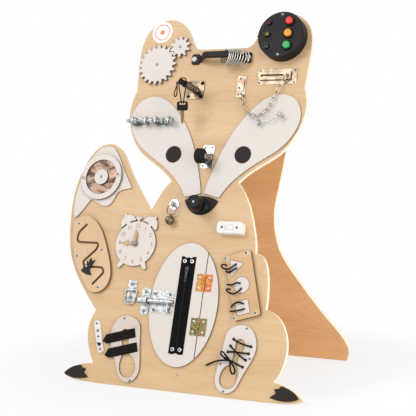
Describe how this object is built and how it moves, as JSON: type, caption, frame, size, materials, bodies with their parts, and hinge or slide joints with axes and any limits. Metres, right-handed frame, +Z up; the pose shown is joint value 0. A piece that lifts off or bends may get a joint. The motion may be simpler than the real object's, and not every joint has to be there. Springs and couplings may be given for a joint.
{
  "type": "wooden busy board",
  "caption": "Free-standing animal-shaped plywood busy board on a hinged rear panel, with latches, gears, switches, laces and other fittings to work by hand.",
  "frame": {"origin": "middle of the front board's floor edge, on the floor, at mid thickness", "axes": "+Z up, -Y the way the front face looks, +X to the viewer's right"},
  "size_m": [0.6382, 0.4981, 0.8292],
  "materials": {
    "birch_ply": "satin",
    "warm_ply": "satin",
    "pale_ply": "satin",
    "cut_ply": "satin",
    "black_paint": "matte",
    "black_metal": "gloss",
    "nickel": "satin",
    "zinc_steel": "satin",
    "hinge_steel": "satin",
    "screw_steel": "satin",
    "black_rubber": "matte",
    "black_cord": "matte",
    "brass_key": "satin",
    "black_plastic": "satin",
    "lamp_lens": "gloss",
    "red_plastic": "gloss",
    "amber_plastic": "gloss",
    "green_plastic": "gloss",
    "white_plastic": "satin",
    "mirror_sheet": "polished",
    "zipper_cloth": "matte",
    "strap_cloth": "matte"
  },
  "bodies": {
    "board": {"front_board": "birch_ply", "hinge_leaves_board": "hinge_steel", "white_patches": "pale_ply", "black_patches": "black_paint", "pull_handle": "black_metal", "spring_stop_base": "nickel", "bolt_row": "zinc_steel", "ear_box_shell": "black_plastic", "ear_box_lid": "black_plastic", "signal_lamps": "lamp_lens", "latch_plates": "nickel", "screw_eyes": "zinc_steel", "switch_body": "white_plastic", "tail_ring": "cut_ply", "maze_panel": "pale_ply", "clock_plate": "pale_ply", "insert_panel": "pale_ply", "shoe_plates": "pale_ply", "shoe_lace": "black_cord", "toggle_strip": "white_plastic", "board_screws": "screw_steel", "insert_cords": "black_cord"},
    "stand": {"rear_panel": "warm_ply", "hinge_leaves_rear": "hinge_steel"},
    "large_gear": {"large_gear": "cut_ply"},
    "small_gear": {"small_gear": "cut_ply"},
    "handle_rings": {"handle_rings": "zinc_steel"},
    "spring_stop": {"stop_spring": "nickel", "stop_tip": "black_rubber"},
    "key": {"door_key": "brass_key", "key_cord": "black_cord"},
    "wing_nut": {"wing_nut": "zinc_steel"},
    "button_red": {"push_button_red": "red_plastic"},
    "button_amber": {"push_button_amber": "amber_plastic"},
    "button_green": {"push_button_green": "green_plastic"},
    "chain": {"chain_slider": "nickel", "door_chain": "zinc_steel"},
    "latch_hook": {"latch_hook": "zinc_steel"},
    "caster_fork": {"caster_fork": "black_metal"},
    "caster_wheel": {"caster_wheel": "black_rubber"},
    "nose_knob": {"nose_knob": "black_plastic"},
    "bell": {"jingle_bell": "zinc_steel"},
    "switch_rocker": {"switch_rocker": "white_plastic"},
    "mirror_disc": {"mirror_disc": "mirror_sheet"},
    "maze_slider": {"maze_slider": "black_plastic"},
    "hour_hand": {"hour_hand": "cut_ply"},
    "minute_hand": {"minute_hand": "cut_ply"},
    "tie_ring": {"tie_ring": "zinc_steel"},
    "belly_door": {"belly_door": "cut_ply", "hinge_leaves_door": "hinge_steel", "barrel_bolt_plate": "zinc_steel", "zipper_tape": "zipper_cloth"},
    "barrel_bolt": {"barrel_bolt_rod": "zinc_steel"},
    "zipper_slider": {"zipper_slider": "black_metal"},
    "insert_triangle": {"insert_triangle": "cut_ply"},
    "insert_disc": {"insert_disc": "cut_ply"},
    "insert_square": {"insert_square": "cut_ply"},
    "strap_upper": {"strap_upper": "strap_cloth"},
    "strap_lower": {"strap_lower": "strap_cloth"},
    "strip_toggle": {"strip_toggle": "black_plastic"}
  },
  "joints": [
    {"name": "stand_fold", "type": "hinge", "parent": "board", "child": "stand", "pos_m": [0, 0.23744, 0.71595], "axis": [1, 0, 0], "range_deg": [-35.9, 0]},
    {"name": "large_gear_turn", "type": "hinge", "parent": "board", "child": "large_gear", "pos_m": [-0.1655, 0.22449, 0.71815], "axis": [0, -0.9524, 0.3047], "continuous": true},
    {"name": "small_gear_turn", "type": "hinge", "parent": "board", "child": "small_gear", "pos_m": [-0.11058, 0.23752, 0.75887], "axis": [0, -0.9524, 0.3047], "continuous": true},
    {"name": "rings_slide", "type": "slide", "parent": "board", "child": "handle_rings", "axis": [1, 0, 0], "range_m": [-0.008, 0]},
    {"name": "stop_flex", "type": "hinge", "parent": "board", "child": "spring_stop", "pos_m": [-0.056, 0.19719, 0.65895], "axis": [1, 0, 0], "range_deg": [-20, 10], "stiffness_Nm_per_rad": 1.2, "deforming": ["stop_spring"]},
    {"name": "key_swing", "type": "hinge", "parent": "spring_stop", "child": "key", "pos_m": [-0.056, 0.13881, 0.67215], "axis": [0, 1, 0], "range_deg": [-35, 35]},
    {"name": "wing_turn", "type": "hinge", "parent": "board", "child": "wing_nut", "pos_m": [-0.154, 0.16378, 0.58743], "axis": [1, 0, 0], "continuous": true},
    {"name": "press_red", "type": "slide", "parent": "board", "child": "button_red", "axis": [0, 0.9524, -0.3047], "range_m": [0, 0.0025], "stiffness_N_per_m": 250},
    {"name": "press_amber", "type": "slide", "parent": "board", "child": "button_amber", "axis": [0, 0.9524, -0.3047], "range_m": [0, 0.0025], "stiffness_N_per_m": 250},
    {"name": "press_green", "type": "slide", "parent": "board", "child": "button_green", "axis": [0, 0.9524, -0.3047], "range_m": [0, 0.0025], "stiffness_N_per_m": 250},
    {"name": "chain_slide", "type": "slide", "parent": "board", "child": "chain", "axis": [-1, 0, 0], "range_m": [0, 0.056], "deforming": ["door_chain"]},
    {"name": "hook_lift", "type": "hinge", "parent": "board", "child": "latch_hook", "pos_m": [0.1198, 0.16964, 0.58608], "axis": [0, -0.9524, 0.3047], "range_deg": [0, 30]},
    {"name": "caster_swivel", "type": "hinge", "parent": "board", "child": "caster_fork", "pos_m": [0, 0.15594, 0.50385], "axis": [0, -0.9524, 0.3047], "continuous": true},
    {"name": "caster_roll", "type": "hinge", "parent": "caster_fork", "child": "caster_wheel", "pos_m": [0, 0.11921, 0.5072], "axis": [1, 0, 0], "continuous": true},
    {"name": "knob_turn", "type": "hinge", "parent": "board", "child": "nose_knob", "pos_m": [0.003, 0.12059, 0.39336], "axis": [0, -0.9524, 0.3047], "continuous": true},
    {"name": "bell_swing", "type": "hinge", "parent": "board", "child": "bell", "pos_m": [-0.068, 0.11217, 0.39396], "axis": [0, -0.9524, 0.3047], "range_deg": [-60, 60]},
    {"name": "rocker_tip", "type": "hinge", "parent": "board", "child": "switch_rocker", "pos_m": [0.086, 0.09105, 0.35189], "axis": [0, 0.3047, 0.9524], "range_deg": [-16, 0]},
    {"name": "mirror_turn", "type": "hinge", "parent": "board", "child": "mirror_disc", "pos_m": [-0.2686, 0.13994, 0.45384], "axis": [0, -0.9524, 0.3047], "continuous": true},
    {"name": "maze_slide", "type": "slide", "parent": "board", "child": "maze_slider", "axis": [1, 0, 0], "range_m": [0, 0.034]},
    {"name": "hour_turn", "type": "hinge", "parent": "board", "child": "hour_hand", "pos_m": [-0.151, 0.09256, 0.30574], "axis": [0, -0.9524, 0.3047], "continuous": true},
    {"name": "minute_turn", "type": "hinge", "parent": "board", "child": "minute_hand", "pos_m": [-0.151, 0.09256, 0.30574], "axis": [0, -0.9524, 0.3047], "continuous": true},
    {"name": "tie_ring_swing", "type": "hinge", "parent": "board", "child": "tie_ring", "pos_m": [-0.143, 0.05644, 0.20547], "axis": [1, 0, 0], "range_deg": [-150, 0]},
    {"name": "belly_door_swing", "type": "hinge", "parent": "board", "child": "belly_door", "pos_m": [0.0375, 0.04676, 0.1839], "axis": [0, 0.3047, 0.9524], "range_deg": [0, 110]},
    {"name": "barrel_bolt_slide", "type": "slide", "parent": "belly_door", "child": "barrel_bolt", "axis": [1, 0, 0], "range_m": [-0.027, 0]},
    {"name": "zipper_slide", "type": "slide", "parent": "belly_door", "child": "zipper_slider", "axis": [0, -0.3047, -0.9524], "range_m": [0, 0.152]},
    {"name": "triangle_lift", "type": "slide", "parent": "board", "child": "insert_triangle", "axis": [0, -0.9524, 0.3047], "range_m": [0, 0.022], "deforming": ["insert_cords"]},
    {"name": "disc_lift", "type": "slide", "parent": "board", "child": "insert_disc", "axis": [0, -0.9524, 0.3047], "range_m": [0, 0.022], "deforming": ["insert_cords"]},
    {"name": "square_lift", "type": "slide", "parent": "board", "child": "insert_square", "axis": [0, -0.9524, 0.3047], "range_m": [0, 0.022], "deforming": ["insert_cords"]},
    {"name": "strap_upper_peel", "type": "hinge", "parent": "board", "child": "strap_upper", "pos_m": [-0.116, 0.02621, 0.1154], "axis": [-0.2723, 0.2932, 0.9165], "range_deg": [0, 120]},
    {"name": "strap_lower_peel", "type": "hinge", "parent": "board", "child": "strap_lower", "pos_m": [-0.1055, 0.01676, 0.08588], "axis": [-0.2723, 0.2932, 0.9165], "range_deg": [0, 120]},
    {"name": "toggle_flip", "type": "hinge", "parent": "board", "child": "strip_toggle", "pos_m": [-0.2033, 0.01682, 0.08376], "axis": [0.9495, 0.0956, 0.2988], "range_deg": [0, 24]}
  ],
  "couplings": [
    {"joint": "small_gear_turn", "follows": "large_gear_turn", "ratio": -2}
  ]
}
